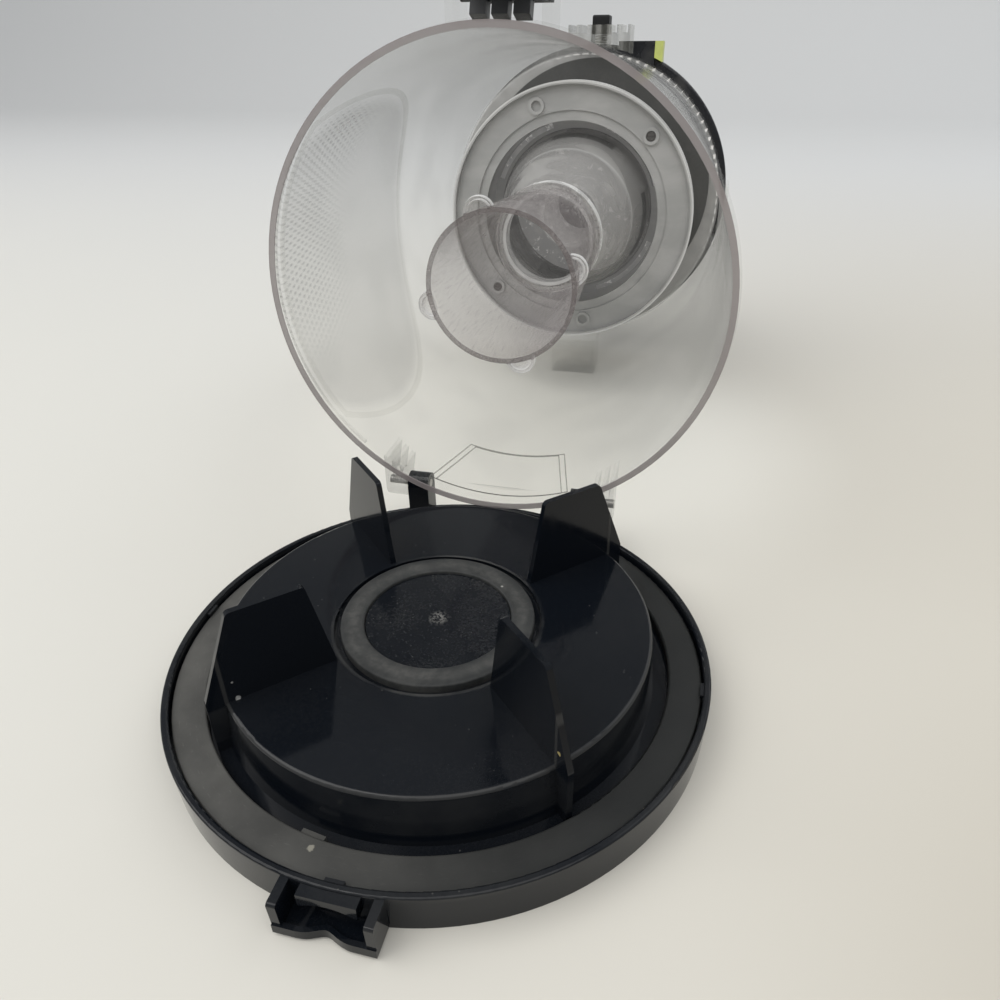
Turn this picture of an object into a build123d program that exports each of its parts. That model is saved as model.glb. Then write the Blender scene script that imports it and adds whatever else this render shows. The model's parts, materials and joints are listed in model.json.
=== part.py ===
"""Cyclone dust bin: a clear tank lying open on its hinged door, with separator, dust tube and filter."""
import os
from math import acos, atan2, cos, degrees, hypot, radians, sin, sqrt

from build123d import *

# Door moulding, millimetres
door_radius = 100.0
skirt_height = 15.2
skirt_wall = 2.6
skirt_draft = 0.6
skirt_edge_round = 0.8
channel_floor = 9.0
door_web = 2.4
channel_gap = 5.1
plateau_draft = 1.9
plateau_height = 28.5
plateau_edge_round = 1.4
dimple_radius = 4.0
dimple_depth = 0.8

# Door gasket and centre seal
gasket_width = 11.8
gasket_height = 3.6
gasket_edge_round = 0.8
gasket_play = 0.5
gasket_tab_width = 8.0
gasket_tab_reach = 1.6
gasket_tab_angle = 261.0
seal_margin_out = 3.6
seal_margin_in = 3.0
seal_proud = 1.2
seal_depth = 2.0
seal_play = 0.3
seal_room = 2.5
seal_round = 0.7

# Door fins, nubs, catch and knuckles
fin_count = 4
fin_first_angle = 45.0
fin_thickness = 2.2
fin_height = 34.8
fin_gap_to_seal = 3.9
fin_gap_to_gasket = 0.9
fin_lean_in = 7.0
fin_lean_out = 12.6
fin_corner_round = 2.0
nub_count = 4
nub_width = 6.0
nub_reach = 1.2
nub_height = 1.4
catch_half_width = 15.6
catch_reach = 7.6
catch_ear_width = 2.8
catch_ear_lean = 0.6
catch_ear_round = 1.0
catch_bar_half_width = 9.0
catch_bar_reach = 3.2
catch_bar_height = 5.4
catch_bar_top = 14.4
catch_bar_sag = 2.8
catch_plate_thickness = 2.0
catch_plate_lift = 1.2
catch_lip_height = 3.4
catch_lip_thickness = 1.6
catch_wave_half_width = 8.5
catch_wave_depth = 2.2
knuckle_gap = 0.6
knuckle_width = 10.0
knuckle_radius = 5.0
knuckle_foot = 3.0

# Hinge
hinge_inset = 6.4
hinge_lift = 12.65
hinge_pin_radius = 2.0
running_clearance = 0.05
hinge_side_play = 0.5
ear_width = 9.5
ear_rib_count = 3
ear_rib_width = 2.0
ear_radius = 7.0
ear_gusset = 34.0

# Clear tank
rim_inset = 3.2
rim_gap = 0.3
tank_wall = 2.45
tank_length = 249.0
tank_taper = 7.2
collar_height = 4.0
shoulder_thickness = 2.4
bead_height = 2.4
bead_proud = 1.2
bead_lift = 7.0
bead_gap_half = 62.0
inlet_width = 30.0
inlet_height = 32.0
inlet_angle = 0.0
inlet_frame = 2.4
inlet_frame_proud = 3.0
inlet_drop = 12.0
lug_proud = 16.9
lug_half_width = 15.0
lug_length = 20.0
lug_wall = 2.5

# Rear boss with its release button
boss_offset = 7.2
boss_width = 36.0
boss_length = 22.0
boss_proud = 12.0
boss_groove_width = 3.2
boss_groove_depth = 4.0
button_width = 9.8
button_length = 11.0
button_play = 0.4
button_proud = 5.0
button_travel = 3.0
button_round = 1.0
button_floor = 1.6
spring_room = 5.0
spring_radius = 3.4
spring_wire = 0.35
spring_turns = 3.0
spring_seat_gap = 0.1

# Rim latch
latch_half_width = 15.5
latch_play = 0.5
cheek_thickness = 3.0
cheek_height = 19.0
cheek_overhang = 6.0
cheek_round = 4.0
latch_pivot_reach = 4.5
latch_pivot_lift = 24.1
latch_pin_radius = 1.6
latch_barrel_radius = 4.2
latch_release_angle = 20.0
latch_hook_play = 1.0
latch_hook_lift = 0.5
latch_hook_height = 3.4
latch_hook_depth = 3.2
latch_arm_thickness = 3.2
latch_pad_height = 16.0
latch_pad_thickness = 3.0
latch_heel_count = 3
latch_heel_width = 6.0
latch_heel_gap = 2.0
latch_heel_height = 6.0
latch_heel_play = 0.8

# Separator
base_inset = 22.2
base_depth = 187.1
base_lip = 3.0
base_lip_above = 4.0
base_wall = 1.8
base_plate = 2.0
base_plate_width = 20.3
recess_depth = 22.0
step_width = 5.3
step_depth = 1.0
slot_count = 4
slot_sweep = 52.0
slot_width = 3.0
slot_first_angle = 20.0
shroud_inset = 4.0
shroud_wall = 2.0
shroud_flange_proud = 5.2
shroud_flange = 2.4
flange_shift_x = 5.5
flange_shift_y = -9.4
shroud_window_count = 28
shroud_window_width = 5.0
shroud_window_margin = 7.0
screw_inset = 9.4
screw_boss_radius = 3.7
screw_boss_height = 20.0
screw_angles = (-45.0, 135.0)
plain_boss_angles = (-110.0, 80.0)
screw_pad_radius = 4.6
screw_pad_height = 1.2
screw_radius = 1.5
screw_play = 0.3
screw_head_radius = 2.5
screw_head_height = 1.6
screw_head_sink = 0.6
screw_length = 14.0
screw_slot_width = 0.8
screw_slot_depth = 0.7
ceiling_seal_inset = 0.6
ceiling_seal_width = 4.0
ceiling_seal_height = 1.6
cone_gap = 5.7
cone_wall = 1.8
cone_ledge = 1.7
cone_ledge_height = 1.6
cone_spigot = 8.0
cone_window_count = 4
cone_window_width = 14.0
cone_window_height = 16.0
cone_fit = 0.4
finder_radius = 18.0
finder_wall = 1.8
finder_length = 50.0
finder_plate = 2.0
finder_plate_margin = 0.5
finder_plate_play = 0.7

# Dust tube
tube_end_radius = 32.0
tube_top_radius = 26.5
tube_wall = 2.0
tube_length = 111.0
tube_seat_gap = 0.5
tube_collar_height = 7.0
tube_collar_proud = 1.3
dome_radius = 6.5
dome_wall = 1.4
dome_inset = 1.2
dome_lift = 1.8
dome_count = 4
dome_first_angle = -16.5

# Filter cartridge
filter_seal_height = 1.5
filter_seal_width = 12.0
filter_base_height = 4.5
filter_base_play = 0.4
filter_base_width = 14.55
cage_wall = 1.5
cage_window_count = 16
cage_window_width = 18.0
cage_window_margin = 4.0
media_gap = 0.6
media_proud = 0.65
media_length = 25.0
media_web = 2.4
pleat_count = 96
cap_proud = 5.45
cap_height = 8.0
cap_rim_width = 28.0
cap_dish_depth = 5.0
cap_edge_round = 1.2
tab_left = 14.0
tab_right = 36.5
tab_proud = 1.3
tab_length = 14.0
tab_grip_width = 5.0

# Worked-out places, in the closed bin: axis along Z, door below, hinge at +Y, latch at -Y
skirt_inside = door_radius - skirt_wall
gasket_outer = skirt_inside - gasket_play
gasket_inner = gasket_outer - gasket_width
gasket_top = channel_floor + gasket_height
plateau_foot = gasket_inner - channel_gap
plateau_radius = plateau_foot - plateau_draft
seal_outer = tube_end_radius + seal_margin_out
seal_inner = tube_end_radius - tube_wall - seal_margin_in
seal_top = plateau_height + seal_proud
seal_bottom = plateau_height - seal_depth
rim_z = gasket_top + rim_gap
rim_radius = skirt_inside - rim_inset
hinge_y = door_radius - hinge_inset
hinge_z = skirt_height + hinge_lift
latch_pivot_y = -(door_radius + latch_pivot_reach)
latch_pivot_z = rim_z + latch_pivot_lift
lug_reach = rim_radius + lug_proud
boss_reach = rim_radius - tank_taper + boss_proud
base_radius = rim_radius - base_inset
recess_radius = base_radius - base_plate_width
step_radius = recess_radius + step_width
cone_radius = recess_radius - cone_gap
screw_circle = base_radius - screw_inset
shroud_radius = base_radius - shroud_inset
shroud_flange_radius = shroud_radius + shroud_flange_proud
ceiling_seal_radius = shroud_flange_radius - ceiling_seal_inset
shell_top = rim_z + tank_length
shoulder_top = shell_top - collar_height
shoulder_under = shoulder_top - shoulder_thickness
collar_inside = rim_radius - tank_taper - tank_wall
filter_bore = collar_inside - filter_base_width
media_radius = collar_inside + media_proud
cap_radius = collar_inside + cap_proud
cap_dish_radius = cap_radius - cap_rim_width
tab_reach = cap_radius + tab_proud
knuckle_inside = sqrt(rim_radius ** 2 - (hinge_y - knuckle_radius - knuckle_gap) ** 2)
ear_inside = knuckle_inside + knuckle_width + hinge_side_play
ear_outside = ear_inside + ear_width
base_z = rim_z + base_depth
plate_under = base_z + base_lip
plate_top = plate_under + base_plate
recess_under = plate_under + recess_depth
recess_top = recess_under + base_plate
ceiling_z = shoulder_under - ceiling_seal_height
tube_end = seal_top + tube_seat_gap
tube_top = tube_end + tube_length
shoulder_hole = shroud_radius + finder_plate_play - finder_plate_margin
filter_base_bottom = shoulder_top + filter_seal_height
media_bottom = filter_base_bottom + filter_base_height
media_top = media_bottom + media_length
cap_top = media_top + cap_height
catch_edge = -(door_radius + catch_reach)
catch_bar_front = -(door_radius + catch_bar_reach)
catch_bar_bottom = catch_bar_top - catch_bar_height
catch_gap_half = catch_half_width - catch_ear_width
boss_bottom = shell_top - boss_length
boss_middle = boss_bottom + boss_length / 2
pocket_floor = -(boss_reach - button_floor - spring_room - button_travel)


def wall_radius(z):
    """Outer radius of the tapering tank wall at height z."""
    return rim_radius - tank_taper * (z - rim_z) / tank_length


def spun(points, rounds=()):
    """Turn an (r, z) outline round the Z axis, with some of its corners rounded."""
    face = make_face(Polyline(*points, close=True))
    for corner, radius in rounds:
        face = fillet(face.vertices().sort_by_distance((*corner, 0))[0:1], radius)
    return revolve(Plane.XZ * face, Axis.Z)


def block(x_low, x_high, y_low, y_high, z_low, z_high):
    """Box between two corners."""
    middle = ((x_low + x_high) / 2, (y_low + y_high) / 2, (z_low + z_high) / 2)
    return Pos(*middle) * Box(x_high - x_low, y_high - y_low, z_high - z_low)


def ring(outer, inner, low, high):
    """Plain ring about the Z axis."""
    return spun([(inner, low), (outer, low), (outer, high), (inner, high)])


def upright(radius, x, y, low, high):
    """Cylinder along Z."""
    return Pos(x, y, (low + high) / 2) * Cylinder(radius, high - low)


def cross_rod(radius, x_low, x_high, y, z):
    """Cylinder along X."""
    return Pos((x_low + x_high) / 2, y, z) * Rot(0, 90, 0) * Cylinder(radius, x_high - x_low)


def side_plate(points, x_low, x_high, rounds=()):
    """Plate cut to a (y, z) outline, from x_low to x_high."""
    face = make_face(Polyline(*points, close=True))
    for corner, radius in rounds:
        face = fillet(face.vertices().sort_by_distance((*corner, 0))[0:1], radius)
    return extrude(Plane.YZ.offset(x_low) * face, x_high - x_low)


def polar(radius, angle):
    """Point at an angle about the Z axis."""
    return radius * cos(radians(angle)), radius * sin(radians(angle))


def make_fin(angle):
    """One radial fin: it stands on the plateau and runs down its edge to the channel floor."""
    foot_in = seal_outer + fin_gap_to_seal
    reach = gasket_inner - fin_gap_to_gasket
    top = plateau_height + fin_height
    inner_top = (foot_in + fin_lean_in, top)
    outer_top = (reach - fin_lean_out, top)
    bend = (reach, plateau_height + door_web)
    outline = [
        (foot_in, plateau_height - door_web / 2), inner_top, outer_top, bend,
        (reach, channel_floor - door_web / 2), (plateau_radius, channel_floor - door_web / 2),
        (plateau_radius - door_web / 2, plateau_height - door_web / 2),
    ]
    face = make_face(Polyline(*outline, close=True))
    for corner in (inner_top, outer_top, bend):
        face = fillet(face.vertices().sort_by_distance((*corner, 0))[0:1], fin_corner_round)
    along = (cos(radians(angle)), sin(radians(angle)), 0)
    across = (sin(radians(angle)), -cos(radians(angle)), 0)
    return extrude(Plane((0, 0, 0), along, across) * face, fin_thickness / 2, both=True)


def make_catch():
    """Catch at the front of the door: two ears, an arched bar for the hook and a waved foot plate."""
    root = -(door_radius - skirt_wall / 2)
    edge = catch_edge
    wave = Spline((-catch_wave_half_width, edge), (0, edge + catch_wave_depth),
                  (catch_wave_half_width, edge), tangents=((1, 0), (1, 0)))
    sides = Polyline((catch_wave_half_width, edge), (catch_half_width, edge), (catch_half_width, root),
                     (-catch_half_width, root), (-catch_half_width, edge), (-catch_wave_half_width, edge))
    foot = make_face(Curve() + [wave, sides])
    catch = extrude(Pos(0, 0, catch_plate_lift) * foot, catch_lip_height)
    tray_floor = catch_plate_lift + catch_plate_thickness
    tray = extrude(Pos(0, catch_lip_thickness, tray_floor) * foot, catch_lip_height)
    catch -= tray & block(-catch_gap_half, catch_gap_half, edge, root + catch_lip_thickness, 0, skirt_height)
    ear_outline = [
        (root, catch_plate_lift), (edge + catch_ear_lean, catch_plate_lift), (edge, catch_bar_top),
        (root, catch_bar_top),
    ]
    for side in (-1, 1):
        low, high = sorted((side * catch_gap_half, side * catch_half_width))
        catch += side_plate(ear_outline, low, high, [((edge, catch_bar_top), catch_ear_round)])
    bar = block(-catch_bar_half_width, catch_bar_half_width, catch_bar_front, root,
                catch_bar_bottom, catch_bar_top)
    arch_radius = (catch_bar_half_width ** 2 + catch_bar_sag ** 2) / (2 * catch_bar_sag)
    arch = Pos(0, root, catch_bar_bottom + catch_bar_sag - arch_radius) * Rot(90, 0, 0)
    return catch + (bar - arch * Cylinder(arch_radius, 4 * catch_reach))


def make_knuckles():
    """Two hinge knuckles that stand on the skirt at the back of the door."""
    knuckles = Part()
    for side in (-1, 1):
        low, high = sorted((side * knuckle_inside, side * (knuckle_inside + knuckle_width)))
        arm = block(low, high, hinge_y - knuckle_radius, hinge_y + knuckle_radius, knuckle_foot, hinge_z)
        knuckles += arm + cross_rod(knuckle_radius, low, high, hinge_y, hinge_z)
    return knuckles - upright(skirt_inside, 0, 0, 0, skirt_height)


def make_door_panel():
    """Black door moulding, hollow below: skirt, gasket channel, raised plateau, fins, catch and knuckles."""
    web = door_web
    groove_out = seal_outer + seal_room
    groove_in = seal_inner - seal_play
    top_under = plateau_height - web
    groove_under = seal_bottom - web
    foot = door_radius - skirt_draft
    outline = [
        (foot, 0), (door_radius, skirt_height), (skirt_inside, skirt_height), (skirt_inside, channel_floor),
        (plateau_foot, channel_floor), (plateau_radius, plateau_height), (groove_out, plateau_height),
        (groove_out, seal_bottom), (groove_in, seal_bottom), (groove_in, plateau_height),
        (0, plateau_height), (0, top_under), (groove_in - web, top_under), (groove_in - web, groove_under),
        (groove_out + web, groove_under), (groove_out + web, top_under),
        (plateau_radius - web, top_under), (plateau_foot - web, channel_floor - web),
        (foot - skirt_wall, channel_floor - web), (foot - skirt_wall, 0),
    ]
    rounds = [
        ((plateau_radius, plateau_height), plateau_edge_round),
        ((door_radius, skirt_height), skirt_edge_round),
        ((skirt_inside, skirt_height), skirt_edge_round),
    ]
    door = spun(outline, rounds)
    for step in range(fin_count):
        door += make_fin(fin_first_angle + step * 360 / fin_count)
    nub_low = gasket_top + rim_gap
    for step in range(nub_count):
        nub = block(skirt_inside - nub_reach, skirt_inside + skirt_wall / 2, -nub_width / 2, nub_width / 2,
                    nub_low, nub_low + nub_height)
        door += Rot(0, 0, step * 360 / nub_count) * nub
    door += make_catch()
    door += make_knuckles()
    door -= Pos(0, 0, plateau_height + dimple_radius - dimple_depth) * Sphere(dimple_radius)
    bore_end = knuckle_inside + knuckle_width + hinge_side_play
    return door - cross_rod(hinge_pin_radius + running_clearance, -bore_end, bore_end, hinge_y, hinge_z)


def make_door_gasket():
    """Flat rubber ring in the door's channel, with one locating tab on its inner edge."""
    outline = [(gasket_inner, channel_floor), (gasket_outer, channel_floor),
               (gasket_outer, gasket_top), (gasket_inner, gasket_top)]
    rounds = [((gasket_outer, gasket_top), gasket_edge_round),
              ((gasket_inner, gasket_top), gasket_edge_round)]
    tab = block(gasket_inner - gasket_tab_reach, gasket_inner + gasket_tab_reach, -gasket_tab_width / 2,
                gasket_tab_width / 2, channel_floor, gasket_top - gasket_edge_round)
    return spun(outline, rounds) + Rot(0, 0, gasket_tab_angle) * tab


def make_centre_seal():
    """Soft ring in the plateau's groove, which closes the dust tube's end."""
    outline = [(seal_inner, seal_bottom), (seal_outer, seal_bottom),
               (seal_outer, seal_top), (seal_inner, seal_top)]
    rounds = [((seal_outer, seal_top), seal_round), ((seal_inner, seal_top), seal_round)]
    return spun(outline, rounds)


def make_hinge_pins():
    """Two steel pins, one for each knuckle, pressed into the tank's ears."""
    pins = Part()
    for side in (-1, 1):
        low, high = sorted((side * knuckle_inside, side * ear_outside))
        pins += cross_rod(hinge_pin_radius, low, high, hinge_y, hinge_z)
    return pins


def make_tank_inside():
    """Everything inside the tank's wall, up to the shoulder."""
    low_radius = rim_radius - tank_wall
    high_radius = wall_radius(shoulder_under) - tank_wall
    return spun([(0, rim_z), (low_radius, rim_z), (high_radius, shoulder_under), (0, shoulder_under)])


def make_ears():
    """Two hinge ears on the back of the rim, each a barrel on three gusset ribs."""
    wall_in = rim_radius - ear_outside / 2
    outline = [(hinge_y, hinge_z - ear_radius), (wall_in - ear_outside / 2, hinge_z - ear_radius),
               (wall_in - ear_outside / 2, hinge_z + ear_gusset), (hinge_y + ear_radius, hinge_z)]
    rib_pitch = (ear_width - ear_rib_width) / (ear_rib_count - 1)
    ears = Part()
    for side in (-1, 1):
        low, high = sorted((side * ear_inside, side * ear_outside))
        ears += cross_rod(ear_radius, low, high, hinge_y, hinge_z)
        for step in range(ear_rib_count):
            near = ear_inside + step * rib_pitch
            low, high = sorted((side * near, side * (near + ear_rib_width)))
            ears += side_plate(outline, low, high)
    return ears


def make_cheeks():
    """Two cheeks on the front of the rim that carry the latch lever's pin."""
    inside = latch_half_width + latch_play
    outer_y = latch_pivot_y - cheek_overhang
    low_z = latch_pivot_z - cheek_height / 2
    high_z = latch_pivot_z + cheek_height / 2
    root_y = -sqrt((rim_radius - tank_wall) ** 2 - (inside + cheek_thickness) ** 2) + tank_taper / 2
    outline = [(outer_y, low_z), (root_y, low_z), (root_y, high_z), (outer_y, high_z)]
    rounds = [((outer_y, low_z), cheek_round), ((outer_y, high_z), cheek_round)]
    cheeks = Part()
    for side in (-1, 1):
        low, high = sorted((side * inside, side * (inside + cheek_thickness)))
        cheeks += side_plate(outline, low, high, rounds)
    return cheeks


def make_rear_boss():
    """Ridged boss beside the tank's top, with the button's pocket."""
    low_x = boss_offset - boss_width / 2
    high_x = boss_offset + boss_width / 2
    boss = block(low_x, high_x, -boss_reach, -collar_inside + tank_taper, boss_bottom, shell_top)
    ridge_pitch = (boss_width / 2 - button_width / 2 - button_play) / 2
    for side in (-1, 1):
        for step in (0.5, 1.5):
            x = boss_offset + side * (button_width / 2 + button_play + step * ridge_pitch)
            boss -= block(x - boss_groove_width / 2, x + boss_groove_width / 2, -boss_reach,
                          boss_groove_depth - boss_reach, boss_bottom, shell_top)
    half_x = button_width / 2 + button_play
    half_z = button_length / 2 + button_play
    return boss - block(boss_offset - half_x, boss_offset + half_x, -boss_reach, pocket_floor,
                        boss_middle - half_z, boss_middle + half_z)


def make_front_lug():
    """Hollow lug on the hinge side, whose slanted face is what the open tank lies on."""
    low_z = shell_top - lug_length
    root = collar_inside - lug_wall

    def floor_y(z):
        return hinge_y + (hinge_z + (z - hinge_z) * cos(radians(open_angle))) / sin(radians(open_angle))

    outline = [(root, low_z), (floor_y(low_z), low_z), (floor_y(shell_top), shell_top), (root, shell_top)]
    lug = side_plate(outline, -lug_half_width, lug_half_width)
    room = block(lug_wall - lug_half_width, lug_half_width - lug_wall, rim_radius, lug_reach - lug_wall,
                 low_z, shell_top - lug_wall)
    return lug - room


def make_inlet(grow, low_radius, high_radius):
    """Block across the wall at the inlet, as large as the port grown by a margin."""
    high_z = shoulder_under - inlet_drop + grow
    low_z = high_z - inlet_height - 2 * grow
    half = inlet_width / 2 + grow
    return Rot(0, 0, inlet_angle) * block(low_radius, high_radius, -half, half, low_z, high_z)


def make_tank_shell():
    """Clear tank: tapering wall, shoulder, collar, rim bead, ears, cheeks, boss, lug and inlet port."""
    top_radius = wall_radius(shell_top)
    shell = spun([
        (0, rim_z), (rim_radius, rim_z), (top_radius, shell_top), (collar_inside, shell_top),
        (collar_inside, shoulder_top), (0, shoulder_top),
    ])
    bead_low = rim_z + bead_lift
    bead = ring(wall_radius(bead_low) + bead_proud, rim_radius - tank_wall, bead_low, bead_low + bead_height)
    bead -= block(-bead_gap_half, bead_gap_half, 0, door_radius, bead_low, bead_low + bead_height)
    port_face = wall_radius(shoulder_under) + inlet_frame_proud
    shell += bead
    shell += make_ears()
    shell += make_cheeks()
    shell += make_rear_boss()
    shell += make_front_lug()
    shell += make_inlet(inlet_frame, port_face - 3 * inlet_frame_proud, port_face)
    shell -= make_tank_inside()
    shell -= upright(shoulder_hole, 0, 0, rim_z, shell_top)
    shell -= upright(collar_inside, 0, 0, shoulder_top, shell_top)
    shell -= make_inlet(0, port_face - 6 * inlet_frame_proud, port_face)
    shell -= cross_rod(hinge_pin_radius, -ear_outside, ear_outside, hinge_y, hinge_z)
    cheek_outside = latch_half_width + latch_play + cheek_thickness
    return shell - cross_rod(latch_pin_radius, -cheek_outside, cheek_outside, latch_pivot_y, latch_pivot_z)


def make_latch_pin():
    """Steel pin across the latch cheeks."""
    end = latch_half_width + latch_play + cheek_thickness
    return cross_rod(latch_pin_radius, -end, end, latch_pivot_y, latch_pivot_z)


def make_latch_lever():
    """Black latch lever in its latched place: barrel, thumb pad, arm, hook and heel teeth."""
    hook_half = catch_gap_half - latch_play
    arm_inside = catch_bar_front - latch_hook_play
    arm_outside = arm_inside - latch_arm_thickness
    hook_top = catch_bar_bottom - latch_hook_lift
    hook_bottom = hook_top - latch_hook_height
    pad_top = latch_pivot_z + latch_pad_height
    arm_outline = [
        (arm_outside, hook_bottom), (arm_inside + latch_hook_depth, hook_bottom),
        (arm_inside + latch_hook_depth, hook_top), (arm_inside, hook_top), (arm_inside, latch_pivot_z),
        (arm_outside, latch_pivot_z),
    ]
    pad_outline = [
        (latch_pivot_y - latch_barrel_radius, latch_pivot_z), (latch_pivot_y, latch_pivot_z),
        (latch_pivot_y - latch_pad_thickness / 2, pad_top),
        (latch_pivot_y - latch_pad_thickness / 2 - latch_pad_thickness, pad_top),
    ]
    lever = cross_rod(latch_barrel_radius, -latch_half_width, latch_half_width, latch_pivot_y, latch_pivot_z)
    lever += side_plate(arm_outline, -hook_half, hook_half)
    lever += side_plate(pad_outline, -latch_half_width, latch_half_width)
    heel_half = latch_heel_height / 2
    heel_room = -latch_pivot_y - wall_radius(latch_pivot_z) - latch_heel_play
    heel_end = latch_pivot_y + sqrt(heel_room ** 2 - heel_half ** 2)
    for step in range(latch_heel_count):
        x = (step - (latch_heel_count - 1) / 2) * (latch_heel_width + latch_heel_gap)
        lever += block(x - latch_heel_width / 2, x + latch_heel_width / 2, latch_pivot_y, heel_end,
                       latch_pivot_z - heel_half, latch_pivot_z + heel_half)
    bore = latch_pin_radius + running_clearance
    return lever - cross_rod(bore, -latch_half_width, latch_half_width, latch_pivot_y, latch_pivot_z)


def make_rear_button():
    """Black push button in the rear boss."""
    bottom = pocket_floor - spring_room
    half = button_width / 2
    button = block(boss_offset - half, boss_offset + half, -boss_reach - button_proud, bottom,
                   boss_middle - button_length / 2, boss_middle + button_length / 2)
    return fillet(button.faces().sort_by(Axis.Y)[0].edges(), button_round)


def make_button_spring():
    """Small coil spring between the pocket's floor and the button."""
    margin = spring_wire + spring_seat_gap
    height = spring_room - 2 * margin
    path = Helix(height / spring_turns, height, spring_radius)
    wire = Plane(origin=path @ 0, z_dir=path % 0) * Circle(spring_wire)
    coil = sweep(wire, path, is_frenet=True)
    return Pos(boss_offset, pocket_floor - margin, boss_middle) * Rot(90, 0, 0) * coil


def make_separator_base():
    """Grey separator plate: thin outer lip, flat annulus with screw pads, and a recess with arc slots."""
    lip_in = base_radius - base_wall
    recess_out = recess_radius + base_wall
    hole = cone_radius + cone_fit
    base = spun([
        (base_radius, base_z), (base_radius, plate_top + base_lip_above),
        (lip_in, plate_top + base_lip_above),
        (lip_in, plate_top), (recess_out, plate_top), (recess_out, recess_top), (hole, recess_top),
        (hole, recess_under), (recess_radius, recess_under), (recess_radius, plate_under + step_depth),
        (step_radius, plate_under + step_depth), (step_radius, plate_under), (lip_in, plate_under),
        (lip_in, base_z),
    ])
    slot_out = recess_radius - cone_fit
    slot_face = make_face(Polyline((slot_out - slot_width, recess_under), (slot_out, recess_under),
                                   (slot_out, recess_top), (slot_out - slot_width, recess_top), close=True))
    slot = revolve(Plane.XZ * slot_face, Axis.Z, slot_sweep)
    for step in range(slot_count):
        base -= Rot(0, 0, slot_first_angle + step * 360 / slot_count) * slot
    pad_low = plate_under - screw_pad_height
    for angle in screw_angles + plain_boss_angles:
        x, y = polar(screw_circle, angle)
        base += upright(screw_pad_radius, x, y, pad_low, plate_under)
        base -= upright(screw_head_radius + screw_play, x, y, pad_low, plate_under + screw_head_sink)
    for angle in screw_angles:
        base -= upright(screw_radius + screw_play, *polar(screw_circle, angle), plate_under, plate_top)
    return base


def make_separator_shroud():
    """Dark shroud: a slotted wall on the separator plate, with screw bosses and an offset flange."""
    inside = shroud_radius - shroud_wall
    flange_under = ceiling_z - shroud_flange
    shroud = spun([
        (inside, plate_top), (shroud_radius, plate_top), (shroud_radius, flange_under),
        (shroud_flange_radius, flange_under), (shroud_flange_radius, ceiling_z), (inside, ceiling_z),
    ])
    wide_side = upright(shroud_flange_radius, flange_shift_x, flange_shift_y, flange_under, ceiling_z)
    shroud += wide_side - upright(inside, 0, 0, flange_under, ceiling_z)
    window_low = plate_top + base_lip_above + shroud_window_margin
    window_high = flange_under - shroud_window_margin
    window = block(inside - shroud_wall, shroud_radius + shroud_wall, -shroud_window_width / 2,
                   shroud_window_width / 2, window_low, window_high)
    clear_angle = degrees(screw_boss_radius / screw_circle) + degrees(shroud_window_width / shroud_radius)
    boss_angles = screw_angles + plain_boss_angles
    for step in range(shroud_window_count):
        angle = step * 360 / shroud_window_count
        if all(abs((angle - boss + 180) % 360 - 180) > clear_angle for boss in boss_angles):
            shroud -= Rot(0, 0, angle) * window
    for angle in boss_angles:
        x, y = polar(screw_circle, angle)
        shroud += upright(screw_boss_radius, x, y, plate_top, plate_top + screw_boss_height)
    for angle in screw_angles:
        shroud -= upright(screw_radius, *polar(screw_circle, angle), plate_top, plate_top + screw_length)
    return shroud


def make_separator_screws():
    """Two small slotted screws, sunk in the plate's pads, that hold it to the shroud's bosses."""
    head_top = plate_under + screw_head_sink
    head_low = head_top - screw_head_height
    screws = Part()
    for angle in screw_angles:
        x, y = polar(screw_circle, angle)
        screw = upright(screw_head_radius, x, y, head_low, head_top)
        screw += upright(screw_radius, x, y, head_top, plate_under + screw_length)
        screws += screw - block(x - screw_head_radius, x + screw_head_radius, y - screw_slot_width / 2,
                                y + screw_slot_width / 2, head_low, head_low + screw_slot_depth)
    return screws


def make_ceiling_seal():
    """Rubber ring between the shroud's flange and the tank's shoulder."""
    return ring(ceiling_seal_radius, ceiling_seal_radius - ceiling_seal_width, ceiling_z, shoulder_under)


def make_cyclone_cone():
    """Inner cyclone: windowed barrel, cone, and a spigot that plugs into the dust tube."""
    spigot = tube_top_radius - tube_wall - cone_fit
    ledge = cone_radius + cone_ledge
    spigot_in = spigot - cone_wall
    barrel_in = cone_radius - cone_wall
    cone = spun([
        (spigot, tube_top - cone_spigot), (spigot, tube_top), (tube_top_radius, tube_top),
        (cone_radius, recess_under - base_plate), (cone_radius, recess_top), (ledge, recess_top),
        (ledge, recess_top + cone_ledge_height), (cone_radius, recess_top + cone_ledge_height),
        (cone_radius, ceiling_z), (barrel_in, ceiling_z), (barrel_in, recess_under - base_plate),
        (spigot_in, tube_top), (spigot_in, tube_top - cone_spigot),
    ])
    window_high = ceiling_z - shroud_flange
    window = block(barrel_in - cone_wall, cone_radius + cone_wall, -cone_window_width / 2,
                   cone_window_width / 2, window_high - cone_window_height, window_high)
    for step in range(cone_window_count):
        cone -= Rot(0, 0, step * 360 / cone_window_count) * window
    return cone


def make_vortex_finder():
    """Outlet tube down the middle of the cyclone, on a plate that closes the separator's top."""
    inside = finder_radius - finder_wall
    plate = shroud_radius - finder_plate_margin
    return spun([
        (inside, ceiling_z - finder_length), (finder_radius, ceiling_z - finder_length),
        (finder_radius, ceiling_z), (plate, ceiling_z), (plate, ceiling_z + finder_plate),
        (inside, ceiling_z + finder_plate),
    ])


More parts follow.
